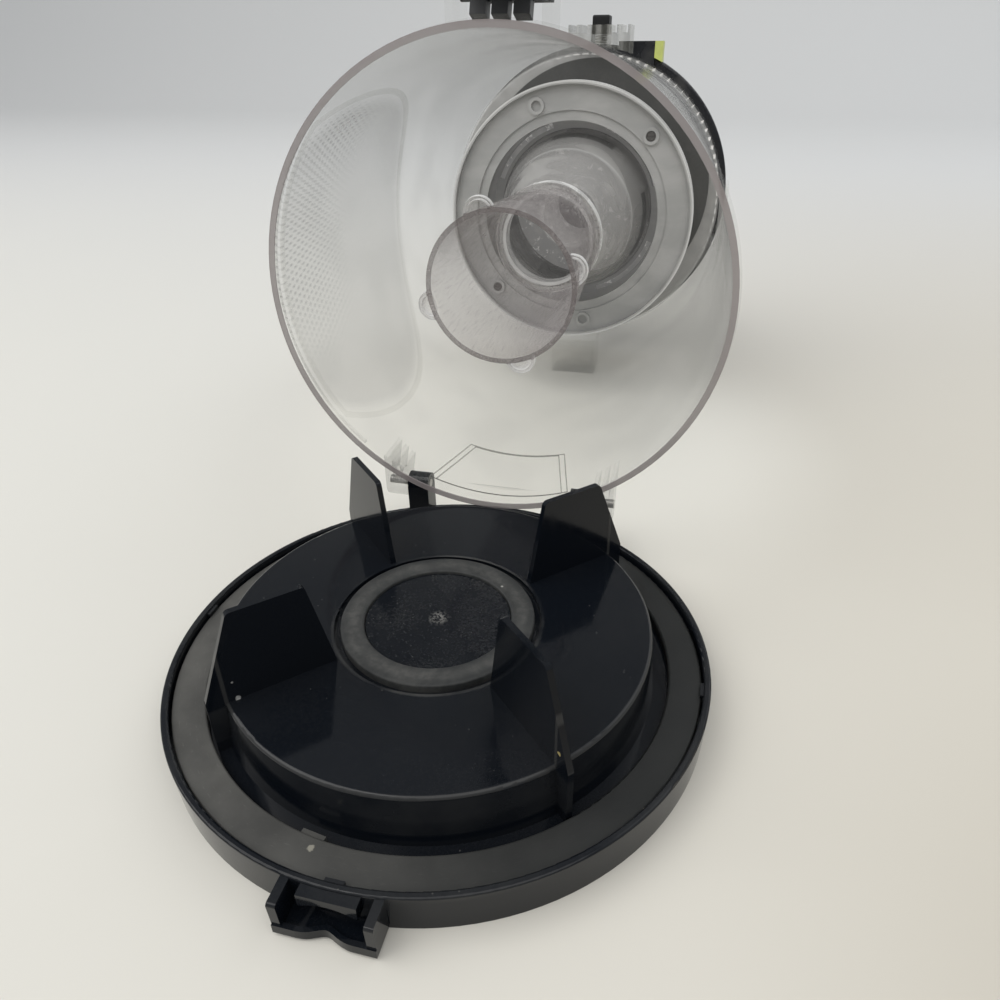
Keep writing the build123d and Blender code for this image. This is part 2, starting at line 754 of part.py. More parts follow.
def make_dust_tube():
    """Clear dust tube, wider at its open end, with four hollow domes round that end."""
    low_in = tube_end_radius - tube_wall
    high_in = tube_top_radius - tube_wall
    collar = tube_top_radius + tube_collar_proud
    tube = spun([(0, tube_end), (tube_end_radius, tube_end), (tube_top_radius, tube_top), (0, tube_top)])
    tube += upright(collar, 0, 0, tube_top - tube_collar_height, tube_top)
    bore = spun([(0, tube_end), (low_in, tube_end), (high_in, tube_top), (0, tube_top)])
    dome = Part()
    hollow = Part()
    for step in range(dome_count):
        x, y = polar(tube_end_radius - dome_inset, dome_first_angle + step * 360 / dome_count)
        dome += Pos(x, y, tube_end + dome_lift) * Sphere(dome_radius)
        hollow += Pos(x, y, tube_end + dome_lift) * Sphere(dome_radius - dome_wall)
    dome -= upright(tube_end_radius + 2 * dome_radius, 0, 0, tube_end - dome_radius, tube_end)
    return (dome - hollow) + (tube - bore) - bore


def make_filter_seal():
    """Rubber ring under the filter, on the tank's shoulder."""
    outer = collar_inside - filter_base_play
    return ring(outer, outer - filter_seal_width, shoulder_top, filter_base_bottom)


def make_filter_base():
    """Plastic foot ring of the filter cartridge, inside the tank's collar."""
    return ring(collar_inside - filter_base_play, filter_bore, filter_base_bottom, media_bottom)


def make_filter_cage():
    """Windowed tube that keeps the pleats from folding inwards."""
    cage = ring(filter_bore + cage_wall, filter_bore, media_bottom, media_top)
    window = block(filter_bore - cage_wall, filter_bore + 2 * cage_wall, -cage_window_width / 2,
                   cage_window_width / 2, media_bottom + cage_window_margin, media_top - cage_window_margin)
    for step in range(cage_window_count):
        cage -= Rot(0, 0, step * 360 / cage_window_count) * window
    return cage


def make_filter_media():
    """Pleated white filter paper, as one zigzag band."""
    valley = filter_bore + cage_wall + media_gap
    outer = []
    inner = []
    for step in range(2 * pleat_count):
        angle = step * 180 / pleat_count
        tip = step % 2 == 0
        outer.append(polar(media_radius if tip else valley + media_web, angle))
        inner.append(polar(media_radius - media_web if tip else valley, angle))
    band = make_face(Polyline(*outer, close=True)) - make_face(Polyline(*inner, close=True))
    return extrude(Pos(0, 0, media_bottom) * band, media_length)


def make_tab(low, high):
    """Block of the filter's pull tab between two distances along its width."""
    return block(low, high, -tab_reach, -cap_dish_radius, cap_top - tab_length, cap_top)


def make_filter_cap():
    """Black end cap of the filter: a dished plate with a wide rim and the body of the pull tab."""
    cap = spun([
        (0, media_top), (cap_radius, media_top), (cap_radius, cap_top), (cap_dish_radius, cap_top),
        (cap_dish_radius, cap_top - cap_dish_depth), (0, cap_top - cap_dish_depth),
    ], [((cap_radius, cap_top), cap_edge_round), ((cap_radius, media_top), cap_edge_round)])
    tab = make_tab(tab_left, tab_right)
    return cap + (tab - upright(media_radius + media_gap, 0, 0, media_bottom, media_top))


def make_filter_grip():
    """Lime end piece on the pull tab, the place to take hold of the filter."""
    return make_tab(tab_right, tab_right + tab_grip_width) - upright(cap_radius, 0, 0, media_bottom, cap_top)


# The tank swings open about the hinge until its lug lies on the floor
lug_rise = shell_top - hinge_z
lug_run = lug_reach - hinge_y
open_angle = degrees(acos(-hinge_z / hypot(lug_rise, lug_run)) - atan2(lug_run, lug_rise))

hinge_axis = Axis((0, hinge_y, hinge_z), (1, 0, 0))
latch_axis = Axis((0, latch_pivot_y, latch_pivot_z), (1, 0, 0))

door_pieces = {
    "door_panel": make_door_panel(),
    "door_gasket": make_door_gasket(),
    "centre_seal": make_centre_seal(),
}
tank_pieces = {
    "tank_shell": make_tank_shell(),
    "hinge_pins": make_hinge_pins(),
    "latch_pin": make_latch_pin(),
    "latch_lever": make_latch_lever().rotate(latch_axis, -latch_release_angle),
    "rear_button": make_rear_button(),
    "button_spring": make_button_spring(),
    "separator_base": make_separator_base(),
    "separator_shroud": make_separator_shroud(),
    "separator_screws": make_separator_screws(),
    "ceiling_seal": make_ceiling_seal(),
    "cyclone_cone": make_cyclone_cone(),
    "vortex_finder": make_vortex_finder(),
    "dust_tube": make_dust_tube(),
    "filter_seal": make_filter_seal(),
    "filter_base": make_filter_base(),
    "filter_cage": make_filter_cage(),
    "filter_media": make_filter_media(),
    "filter_cap": make_filter_cap(),
    "filter_grip": make_filter_grip(),
}
pieces = dict(door_pieces)
for name, piece in tank_pieces.items():
    pieces[name] = piece.rotate(hinge_axis, -open_angle)

# The origin is under the middle of the whole bin, on the floor
boxes = [piece.bounding_box() for piece in pieces.values()]
low_corner = [min(getattr(box.min, side) for box in boxes) for side in "XYZ"]
high_corner = [max(getattr(box.max, side) for box in boxes) for side in "XYZ"]
middle = [(low + high) / 2 for low, high in zip(low_corner, high_corner)]
shift = Pos(-middle[0], -middle[1], -low_corner[2])
os.makedirs("parts", exist_ok=True)
for name, piece in pieces.items():
    export_step(shift * piece, f"parts/{name}.step")
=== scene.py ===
"""Looks of the cyclone dust bin, lying open on its door: clear tank, separator, tube and filter."""
import json
from math import cos, pi, radians, sin

import bmesh
import bpy
from mathutils import Matrix, Vector


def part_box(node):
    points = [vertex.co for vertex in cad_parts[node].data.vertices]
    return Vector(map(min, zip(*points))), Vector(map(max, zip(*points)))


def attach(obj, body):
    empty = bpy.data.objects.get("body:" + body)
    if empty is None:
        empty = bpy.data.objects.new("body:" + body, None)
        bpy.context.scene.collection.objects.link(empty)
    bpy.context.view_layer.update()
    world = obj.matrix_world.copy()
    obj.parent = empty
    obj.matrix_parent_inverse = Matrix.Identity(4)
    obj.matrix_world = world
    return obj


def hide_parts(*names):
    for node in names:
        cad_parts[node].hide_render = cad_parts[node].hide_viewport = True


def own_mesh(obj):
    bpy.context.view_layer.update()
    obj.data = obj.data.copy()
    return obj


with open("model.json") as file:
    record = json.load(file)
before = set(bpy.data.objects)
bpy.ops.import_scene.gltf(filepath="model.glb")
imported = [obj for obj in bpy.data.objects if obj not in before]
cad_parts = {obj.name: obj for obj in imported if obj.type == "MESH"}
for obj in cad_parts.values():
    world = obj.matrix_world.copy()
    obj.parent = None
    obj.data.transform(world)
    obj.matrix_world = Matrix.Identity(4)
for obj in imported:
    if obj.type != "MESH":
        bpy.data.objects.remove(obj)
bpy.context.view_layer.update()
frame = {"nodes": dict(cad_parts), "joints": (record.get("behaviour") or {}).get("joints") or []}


# Door panel: one glossy black moulding with gasket channel, plateau, fins, catch and knuckles.
# Fine house dust lies on its upper faces, thickest round the centre seal, and the fins have
# small nicks.
class Value:
    """A number or colour over a surface, held in one node's output, that takes part in sums."""

    def __init__(self, finish, socket):
        self.finish = finish
        self.socket = socket

    def __add__(self, other):
        return self.finish.maths("ADD", self, other)

    def __sub__(self, other):
        return self.finish.maths("SUBTRACT", self, other)

    def __rsub__(self, other):
        return self.finish.maths("SUBTRACT", other, self)

    def __mul__(self, other):
        return self.finish.maths("MULTIPLY", self, other)

    def __pow__(self, other):
        return self.finish.maths("POWER", self, other)

    __radd__ = __add__
    __rmul__ = __mul__


class Finish:
    """One material, built up from its main shader."""

    def __init__(self, name):
        self.material = bpy.data.materials.new(name)
        self.material.use_nodes = True
        self.tree = self.material.node_tree
        self.shader = self.tree.nodes["Principled BSDF"]

    def feed(self, socket, value):
        """Link a value to a socket, or set the socket to a plain number or colour."""
        if isinstance(value, Value):
            self.tree.links.new(value.socket, socket)
        elif socket.type == "RGBA":
            socket.default_value = (*value, 1.0)
        else:
            socket.default_value = value

    def node(self, kind, settings=None, inputs=None, output=0):
        """Add any node: its type, its settings, the values or links of its inputs, its output."""
        made = self.tree.nodes.new("ShaderNode" + kind)
        for key, value in (settings or {}).items():
            setattr(made, key, value)
        for key, value in (inputs or {}).items():
            self.feed(made.inputs[key], value)
        return Value(self, made.outputs[output])

    def maths(self, operation, *terms):
        return self.node("Math", {"operation": operation}, dict(enumerate(terms)))

    def length(self, first, second):
        """Length of a flat arrow, from its two parts."""
        return self.maths("SQRT", first * first + second * second)

    def place(self, move=(0, 0, 0), turn=0.0, stretch=(1, 1, 1)):
        """Object coordinates, moved and turned about X to suit the piece."""
        here = self.node("TexCoord", output="Object")
        return self.node("Mapping", inputs={
            "Vector": here, "Location": move, "Rotation": (turn, 0, 0), "Scale": stretch})

    def split(self, vector):
        """The three parts of a vector or colour."""
        outputs = self.node("SeparateXYZ", inputs={0: vector}).socket.node.outputs
        return [Value(self, socket) for socket in outputs]

    def noise(self, place, scale, detail=3.0, coarse=0.55):
        return self.node("TexNoise", inputs={
            "Vector": place, "Scale": scale, "Detail": detail, "Roughness": coarse})

    def between(self, value, low, high):
        """0 at low, 1 at high, smooth in between."""
        return self.node("MapRange", {"interpolation_type": "SMOOTHSTEP"},
                         {0: value, 1: low, 2: high})

    def blend(self, share, first, second):
        """Colour between two, by a share from 0 to 1."""
        return self.node("Mix", {"data_type": "RGBA"}, {0: share, 6: first, 7: second}, 2)

    def grains(self, place, scale, size, share, solid=0.5, edge=0.01):
        """Specks: a share of the cells of a loose grid hold one grain each."""
        near = self.node("TexVoronoi", inputs={"Vector": place, "Scale": scale}, output="Distance")
        chance = self.split(Value(self, near.socket.node.outputs["Color"]))[0]
        chosen = 1 - share
        return (self.between(near, size, size * solid)
                * self.between(chance, chosen, chosen + edge))

    def mark(self, place, middle, size, ragged=0.9, frayed=1.2, solid=0.55):
        """A ragged spot about a point."""
        gap = self.node("VectorMath", {"operation": "DISTANCE"}, {0: place, 1: middle}, "Value")
        torn = gap + size * ragged * (self.noise(place, frayed / size, detail=1) - 0.5)
        return self.between(torn, size, size * solid)

    def upward(self, low=0.4, high=0.9):
        """1 on faces that look up at rest."""
        return self.between(self.split(self.node("TexCoord", output="Normal"))[2], low, high)

    def bump(self, height, strength, distance):
        return self.node("Bump", inputs={
            "Height": height, "Strength": strength, "Distance": distance})

    def surface(self, **inputs):
        """Set or link inputs of the main shader, named with _ for a space."""
        for name, value in inputs.items():
            self.feed(self.shader.inputs[name.replace("_", " ")], value)

    def see_through(self, cover, through):
        """Let what is behind show, tinted, where the main shader doesn't cover."""
        film = self.node("BsdfTransparent", inputs={0: through})
        body = Value(self, self.shader.outputs[0])
        mixed = self.node("MixShader", inputs={0: cover, 1: film, 2: body})
        self.feed(self.tree.nodes["Material Output"].inputs["Surface"], mixed)


def dress(finish, *nodes):
    """Give CAD nodes a finish."""
    for name in nodes:
        slots = frame["nodes"][name].data.materials
        slots.clear()
        slots.append(finish.material)


seal_low, seal_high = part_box("centre_seal")
door_middle = Vector(((seal_low.x + seal_high.x) / 2, (seal_low.y + seal_high.y) / 2, 0))
door_black = (0.0042, 0.0056, 0.0082)
house_dust = (0.21, 0.205, 0.19)
nick_white = (0.50, 0.50, 0.48)
crumb_tan = (0.36, 0.29, 0.12)
fin_nick = (-0.0518, -0.0530, 0.0290)
nick_size = 0.0011
fin_chip = (-0.0523, -0.0534, 0.0362)
chip_size = 0.0006
nick_share = 0.6
fin_crumb = (0.0556, -0.0568, 0.0355)
crumb_size = 0.0010
groove_edge = 0.0383
groove_line = (0.0013, 0.0003)
plateau_edge = 0.0778
plateau_line = (0.0009, 0.0003)
plateau_top = (0.0272, 0.0280)
band_start = (0.0125, 0.0140)
band_stop = (0.0280, 0.0265)
dimple_reach = 0.0046
dimple_solid = 0.4
seal_fade = 0.008
plateau_film = 0.012
seal_film = 0.035
groove_film = 0.24
fluff_film = 0.20
dimple_film = 0.50
band_film = 0.055
edge_highlight_share = 0.12
wipe_stretch = (1, 7, 1)

moulding = Finish("door_moulding")
spot = moulding.place(-door_middle)
x, y, z = moulding.split(spot)
radius = moulding.length(x, y)
cloud = moulding.noise(spot, scale=26, detail=5)
grit = moulding.noise(spot, scale=1100, detail=3)
patchy = moulding.between(cloud * 0.5 + grit * 0.5, 0.44, 0.60)
off_groove = moulding.maths("ABSOLUTE", radius - groove_edge)
veil = moulding.between(cloud, 0.35, 0.70)
on_groove = moulding.between(off_groove, *groove_line) * veil
# A painted highlight runs along the plateau's rounded top edge.
off_edge = moulding.maths("ABSOLUTE", radius - plateau_edge)
edge_highlight = moulding.between(off_edge, *plateau_line) * moulding.between(z, *plateau_top)
on_dimple = (moulding.between(radius, dimple_reach, dimple_reach * dimple_solid)
             * moulding.between(grit, 0.42, 0.58))
inside_seal = moulding.between(radius, groove_edge, groove_edge - seal_fade)
fluff = (moulding.grains(spot, scale=430, size=0.15, share=0.10)
         + inside_seal * moulding.grains(spot, scale=620, size=0.20, share=0.25))
wiped = moulding.noise(moulding.place(-door_middle, stretch=wipe_stretch), scale=38, detail=4)
# Between these heights the walls are painted a little paler in veiled patches.
pale_band = moulding.between(z, *band_start) * moulding.between(z, *band_stop) * veil
settled = (patchy * (plateau_film + seal_film * inside_seal) + on_groove * groove_film
           + fluff * fluff_film + on_dimple * dimple_film)
# This sum holds the settled dust, the paler wall band and the painted highlight on the plateau's
# edge.
pale_share = pale_band * band_film + edge_highlight * edge_highlight_share + moulding.upward() * settled
colour = moulding.blend(pale_share, door_black, house_dust)
for place, size in ((fin_nick, nick_size), (fin_chip, chip_size)):
    colour = moulding.blend(nick_share * moulding.mark(spot, place, size), colour, nick_white)
colour = moulding.blend(moulding.mark(spot, fin_crumb, crumb_size), colour, crumb_tan)
moulding.surface(
    Base_Color=colour,
    Roughness=0.09 + 0.06 * moulding.between(wiped, 0.45, 0.75) + 0.6 * pale_share,
    Specular_IOR_Level=0.25,
    Normal=moulding.bump(grit, strength=0.06, distance=0.00010),
)
dress(moulding, "door_panel")


# Door gasket: a flat ring of dark grey rubber, pressed into the door's channel.
# It has taken up grey dust, fine scratches round its length and a few pale crumbs. Its dust
# film is painted paler on the left and darker on the right, as painted sheen and shade.
rubber_grey = (0.014, 0.0152, 0.0155)
crumb_pale = (0.42, 0.40, 0.33)
crumb_place = (-0.0116, -0.0880, 0.0126)
crumb_width = 0.0013
lit_side = (0.080, -0.080)
scratch_turn = 0.02

gasket = Finish("gasket_rubber")
spot = gasket.place(-door_middle)
x, y, z = gasket.split(spot)
round_ring = gasket.maths("ARCTAN2", y, x)
radius = gasket.length(x, y)
stroke = gasket.node("CombineXYZ", inputs={0: round_ring * scratch_turn, 1: radius, 2: 0.0})
scratches = gasket.between(gasket.noise(stroke, scale=1300, detail=3), 0.60, 0.72)
cloud = gasket.noise(spot, scale=45, detail=5)
# Painted sheen and shade: the dust film is strongest on the left, where the light falls, and faint
# on the right.
lit_left = 0.12 + 0.88 * gasket.between(x, *lit_side)
film = lit_left * (0.24 + 0.26 * gasket.between(cloud, 0.20, 0.80) + scratches * 0.10)
crumbs = (gasket.grains(spot, scale=220, size=0.16, share=0.08) * 0.4
          + 0.5 * gasket.mark(spot, crumb_place, crumb_width))
colour = gasket.blend(film, rubber_grey, house_dust)
gasket.surface(
    Base_Color=gasket.blend(crumbs, colour, crumb_pale),
    Roughness=0.42 + 0.3 * film,
    Specular_IOR_Level=0.18,
    Normal=gasket.bump(gasket.noise(spot, scale=500) + scratches, strength=0.15, distance=0.0002),
)
dress(gasket, "door_gasket")


# Centre seal: a soft grey ring in the plateau's groove, which shuts the end of the dust tube.
# The tube has left a pale dusty track round it.
seal_grey = (0.024, 0.0255, 0.0255)
seal_crumb = (0.40, 0.39, 0.36)
seal_track = 0.0310
track_fade = (0.0035, 0.0005)

seal = Finish("seal_rubber")
spot = seal.place(-door_middle)
x, y, z = seal.split(spot)
off_track = seal.maths("ABSOLUTE", seal.length(x, y) - seal_track)
track = seal.between(off_track, *track_fade)
grit = seal.noise(spot, scale=420, detail=4)
film = seal.between(seal.noise(spot, scale=60, detail=4) * 0.6 + grit * 0.4, 0.40, 0.70)
colour = seal.blend(film * 0.17 + track * grit * 0.20, seal_grey, house_dust)
crumbs = seal.grains(spot, scale=260, size=0.18, share=0.12) * 0.7
seal.surface(
    Base_Color=seal.blend(crumbs, colour, seal_crumb),
    Roughness=0.62 + 0.2 * film,
    Specular_IOR_Level=0.35,
    Normal=seal.bump(grit, strength=0.25, distance=0.0003),
)
dress(seal, "centre_seal")


# Hinge pins and latch pin: short turned steel rods, pressed into the clear ears and cheeks.
# Fine turning lines run round them, and the steel has tarnished in patches.
pin_pale = (0.46, 0.45, 0.43)
pin_tarnish = (0.24, 0.22, 0.20)
turned_stretch = (30, 1, 1)

pin = Finish("turned_steel")
lines = pin.noise(pin.place(stretch=turned_stretch), scale=160, detail=2)
tarnish = pin.noise(pin.place(), scale=220, detail=4)
pin.surface(
    Base_Color=pin.blend(pin.between(tarnish, 0.45, 0.75), pin_pale, pin_tarnish),
    Metallic=1.0,
    Roughness=0.28 + 0.22 * lines,
    Normal=pin.bump(lines, strength=0.2, distance=0.0001),
)
dress(pin, "hinge_pins", "latch_pin")


# Clear tank: one injection moulding in clear polycarbonate, a tapering wall with ribbed ears,
# cheeks and boss. Its cut rim looks mauve grey, a stippled round grip is moulded into the left
# side, and handling has left fine hazing.
def find_joint(name):
    return next(joint for joint in frame["joints"] if joint["name"] == name)


hinge = find_joint("door_hinge")
hinge_open = Vector(hinge["pos_m"])
hinge_shut = hinge_open - door_middle
open_angle = -radians(hinge["range_deg"][0])
shut_turn = Matrix.Rotation(open_angle, 3, "X")
tank_move = hinge_shut - shut_turn @ hinge_open


def tank_spot(finish, stretch=(1, 1, 1)):
    """Object coordinates in the frame of the tank as it stands on a shut door, Z along its axis."""
    return finish.place(tank_move, open_angle, stretch)


clear_grey = (0.30, 0.30, 0.295)
clear_tint = (0.990, 0.990, 0.986)
rim_mauve = (0.27, 0.242, 0.238)
ridge_shade = (0.13, 0.13, 0.115)
ridge_highlight = (0.52, 0.52, 0.49)
ear_highlight = (0.68, 0.68, 0.66)
ceiling_pale = (0.70, 0.70, 0.69)
rim_height = 0.0129
rim_radius = 0.0942
rim_skin = (0.0007, 0.0003)
wall_taper = 0.0072 / 0.249
outer_skin = (rim_radius + 0.0005, rim_radius + 0.0014)
inner_skin = (rim_radius - 0.0008, rim_radius - 0.0016)
grip_radius = 0.083
grip_depth = 0.060
grip_fade = 0.010
grip_start = (0.004, 0.008)
dot_round = 0.0031
dot_deep = 0.0070
dots_stop = (0.085, 0.020)
dots_low = (0.050, 0.000)
back_start = (0.2140, 0.2200)
boss_side = (-0.060, -0.070)
boss_ridge = 0.0066
lug_side = (0.082, 0.086)
ear_side = (0.058, 0.064)
ear_stop = (0.070, 0.064)
ceiling_start = (0.2412, 0.2420)
ceiling_edge = (0.0865, 0.0855)

clear = Finish("tank_clear")
spot = tank_spot(clear)
x, y, z = clear.split(spot)
depth = z - rim_height
radius = clear.length(x, y)
round_wall = rim_radius * clear.maths("ARCTAN2", y, 0 - x)
grip_reach = clear.length(round_wall, depth - grip_depth)
row = clear.maths("COSINE", round_wall * (2 * pi / dot_round))
column = clear.maths("COSINE", depth * (2 * pi / dot_deep))
facing = clear.node("LayerWeight", inputs={"Blend": 0.5}, output="Facing")
on_grip = (clear.between(grip_reach, grip_radius, grip_radius - grip_fade)
           * clear.between(depth, *grip_start))
dotted = clear.between(depth, *dots_stop) * clear.between(y, *dots_low)
stipple = on_grip * dotted * clear.between(row * column, 0.25, 0.65)
cut_rim = clear.between(depth, *rim_skin)
reach = radius + wall_taper * depth
outside = clear.between(reach, *outer_skin)
inner_face = clear.between(reach, *inner_skin)
at_back = clear.between(depth, *back_start)
on_boss = outside * at_back * clear.between(y, *boss_side)
on_lug = at_back * clear.between(y, *lug_side)
on_ear = outside * clear.between(y, *ear_side) * clear.between(depth, *ear_stop)
on_ceiling = clear.between(depth, *ceiling_start) * clear.between(radius, *ceiling_edge)
ridges = clear.between(clear.maths("COSINE", x * (2 * pi / boss_ridge)), -0.3, 0.5)
gloss = facing ** 5 * (0.12 + 0.83 * inner_face)
hazing = clear.between(clear.noise(spot, scale=34, detail=0), 0.42, 0.72) * 0.03
colour = clear.blend(cut_rim, clear_grey, rim_mauve)
# The boss is painted in dark and pale stripes, as painted shade and highlight of its ridges.
colour = clear.blend(on_boss, colour, clear.blend(ridges, ridge_shade, ridge_highlight))
# The ears carry a painted highlight, pale and less clear.
colour = clear.blend(on_ear * 0.8, colour, ear_highlight)
colour = clear.blend(on_ceiling, colour, ceiling_pale)
clear.surface(
    Base_Color=colour,
    Roughness=0.09 + 0.25 * stipple + 2.0 * hazing,
    Specular_IOR_Level=0.5,
)
haze = (0.008 + hazing + on_grip * 0.12 + stipple * 0.16 + cut_rim * 0.86
        + on_boss * 0.28 + on_ear * 0.16 + on_ceiling * 0.35)
clear.see_through((haze + gloss) * (1 - on_lug * 0.9), clear_tint)
dress(clear, "tank_shell")


# Grip border: the smooth raised edge round the stippled grip, part of the tank's moulding.
# The rim's bead cuts the circle off near the mouth, and only the edge's upper part carries a
# painted highlight.
lay_open = (Matrix.Translation(hinge_open) @ Matrix.Rotation(-open_angle, 4, "X")
            @ Matrix.Translation(-hinge_shut))
sharp_angle = radians(35)


def lay_on_wall(mesh, middle):
    """Bend a flat mesh onto the outside of the tank: x runs round the wall, y up the axis."""
    for vert in mesh.verts:
        reach = rim_radius - wall_taper * vert.co.y + vert.co.z
        turn = middle + vert.co.x / rim_radius
        vert.co = (reach * cos(turn), reach * sin(turn), rim_height + vert.co.y)
    mesh.transform(lay_open)


def add_piece(name, mesh, finish, body):
    """Make an object of a finished mesh, which rides on a body."""
    data = bpy.data.meshes.new(name)
    mesh.normal_update()
    mesh.to_mesh(data)
    mesh.free()
    data.shade_smooth()
    data.set_sharp_from_angle(angle=sharp_angle)
    data.materials.append(finish.material)
    piece = bpy.data.objects.new(name, data)
    bpy.context.scene.collection.objects.link(piece)
    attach(piece, body)
    return piece


def raise_border(mesh, width, height):
    """Turn a mesh's one flat face into a raised border along its edge."""
    faces = mesh.faces[:]
    bmesh.ops.inset_region(mesh, faces=faces, thickness=width, use_boundary=True,
                           use_even_offset=True)
    bmesh.ops.delete(mesh, geom=faces, context="FACES")
    made = bmesh.ops.extrude_face_region(mesh, geom=mesh.faces[:])
    verts = [item for item in made["geom"] if isinstance(item, bmesh.types.BMVert)]
    bmesh.ops.translate(mesh, verts=verts, vec=(0, 0, height))
    bmesh.ops.recalc_face_normals(mesh, faces=mesh.faces)


border_width = 0.0030
border_height = 0.0006
border_sides = 96
bead_top = 0.0102
bead_cuts = 40
left_side = pi
lit_edge = (0.015, -0.050)
border_grey = (0.55, 0.55, 0.54)
border_pale = (0.70, 0.70, 0.69)
border_tint = (0.985, 0.985, 0.981)

border = Finish("grip_border_clear")
spot = tank_spot(border)
x, y, z = border.split(spot)
highlighted = border.between(y, *lit_edge)
border.surface(
    Base_Color=border.blend(border.noise(spot, scale=90, detail=1), border_grey, border_pale),
    Roughness=0.15 + 0.1 * border.noise(spot, scale=200, detail=2),
)
# The upper part is made less clear, so its pale colour shows as a painted highlight.
border.see_through(0.008 + 0.08 * highlighted, border_tint)
mesh = bmesh.new()
bmesh.ops.create_circle(mesh, cap_ends=True, radius=grip_radius, segments=border_sides)
bmesh.ops.translate(mesh, verts=mesh.verts, vec=(0, grip_depth, 0))
bmesh.ops.bisect_plane(mesh, geom=mesh.verts[:] + mesh.edges[:] + mesh.faces[:],
                       plane_co=(0, bead_top, 0), plane_no=(0, -1, 0), clear_outer=True)
long_edges = [edge for edge in mesh.edges if edge.calc_length() > grip_radius]
bmesh.ops.subdivide_edges(mesh, edges=long_edges, cuts=bead_cuts)
raise_border(mesh, border_width, border_height)
lay_on_wall(mesh, left_side)
add_piece("grip_border", mesh, border, "tank")


# Badge panel: a bare outline moulded on the wall between the hinge ears.
# A second fine line runs inside each slanted side.
badge_near = 0.0115
badge_far = 0.0525
badge_near_half = 0.0335
badge_far_half = 0.0250
badge_line = 0.0005
badge_height = 0.0003
badge_second = 0.0028
badge_drop = 0.3
badge_cuts = 24
hinge_side = pi / 2
line_dark = (0.20, 0.20, 0.19)
line_grey = (0.34, 0.34, 0.32)
line_tint = (0.90, 0.90, 0.89)

mesh = bmesh.new()
for shrink in (0.0, badge_second):
    near_half = badge_near_half - shrink
    far_half = badge_far_half - shrink
    far = badge_far - shrink * badge_drop
    corners = [(near_half, badge_near), (far_half, far), (-far_half, far), (-near_half, badge_near)]
    outline = bmesh.new()
    outline.faces.new([outline.verts.new((across, up, 0)) for across, up in corners])
    bmesh.ops.subdivide_edges(outline, edges=outline.edges[:], cuts=badge_cuts)
    raise_border(outline, badge_line, badge_height)
    lay_on_wall(outline, hinge_side)
    data = bpy.data.meshes.new("badge_line")
    outline.to_mesh(data)
    outline.free()
    mesh.from_mesh(data)
    bpy.data.meshes.remove(data)
line = Finish("badge_line_clear")
spot = line.place()
line.surface(
    Base_Color=line.blend(line.noise(spot, scale=120, detail=1), line_dark, line_grey),
    Roughness=0.25,
)
line.see_through(0.20 + 0.2 * line.noise(spot, scale=160, detail=2), line_tint)
add_piece("badge_outline", mesh, line, "tank")


# Latch lever: a black moulded lever on a steel pin between the tank's cheeks.
# Its faces are finely textured, and dust lies on the upper ones.
lever_black = (0.030, 0.031, 0.033)

lever = Finish("latch_black")
spot = lever.place()
grain = lever.node("TexVoronoi", inputs={"Vector": spot, "Scale": 1500}, output="Distance")
film = lever.between(lever.noise(spot, scale=70, detail=4), 0.42, 0.75) * lever.upward()
lever.surface(
    Base_Color=lever.blend(film * 0.35, lever_black, house_dust),
    Roughness=0.38 + 0.2 * film,
    Specular_IOR_Level=0.4,
    Normal=lever.bump(grain, strength=0.35, distance=0.0001),
)
dress(lever, "latch_lever")


# Rear button: a small matt black push button that slides in the tank's ridged boss.
# Thumbs have worn it a little paler in places.
button_black = (0.006, 0.0064, 0.007)
button_worn = (0.024, 0.024, 0.026)

button = Finish("button_black")
spot = button.place()
grain = button.noise(spot, scale=1400, detail=2)
worn = button.between(button.noise(spot, scale=130, detail=3), 0.5, 0.8)
button.surface(
    Base_Color=button.blend(worn * 0.4, button_black, button_worn),
    Roughness=0.45 + 0.15 * grain,
    Specular_IOR_Level=0.35,
    Normal=button.bump(grain, strength=0.3, distance=0.0001),
)
dress(button, "rear_button")


# Button spring: a short coil of spring steel between the boss and the rear button.
# It is wound here as an open helix.
spring_pale = (0.52, 0.51, 0.49)
spring_dark = (0.30, 0.29, 0.28)
coil_radius = 0.0034
coil_wire = 0.00035
wire_sides = 8
coil_turns = 3
coil_height = 0.0041
coil_steps = 72

spring = Finish("spring_steel")
spot = spring.place()
spring.surface(
    Base_Color=spring.blend(spring.noise(spot, scale=600, detail=3), spring_pale, spring_dark),
    Metallic=1.0,
    Roughness=0.25 + 0.2 * spring.noise(spot, scale=900, detail=2),
)
dress(spring, "button_spring")
outward = -Vector(find_joint("button_slide")["axis"]).normalized()
across = Vector((1, 0, 0))
coil_low, coil_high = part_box("button_spring")
seat = (coil_low + coil_high) / 2 - outward * coil_height / 2
stand = Matrix((across, outward.cross(across), outward)).transposed().to_4x4()
stand.translation = seat
wire_end = Matrix.Translation((coil_radius, 0, 0)) @ Matrix.Rotation(pi / 2, 4, "X")
mesh = bmesh.new()
bmesh.ops.create_circle(mesh, segments=wire_sides, radius=coil_wire, matrix=wire_end)
bmesh.ops.spin(mesh, geom=mesh.verts[:] + mesh.edges[:], cent=(0, 0, 0), axis=(0, 0, 1),
               dvec=(0, 0, coil_height / coil_steps), angle=2 * pi * coil_turns, steps=coil_steps)
bmesh.ops.holes_fill(mesh, edges=mesh.edges[:], sides=0)
bmesh.ops.recalc_face_normals(mesh, faces=mesh.faces)
mesh.transform(stand)
coil = add_piece("button_coil", mesh, spring, "tank")
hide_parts("button_spring")
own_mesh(coil)


# Separator shroud: a dark smoky moulding with fine slots, its wide flange under the tank's
# shoulder. A thin film of grey dust clings to it in patches.
shroud_smoke = (0.095, 0.095, 0.092)

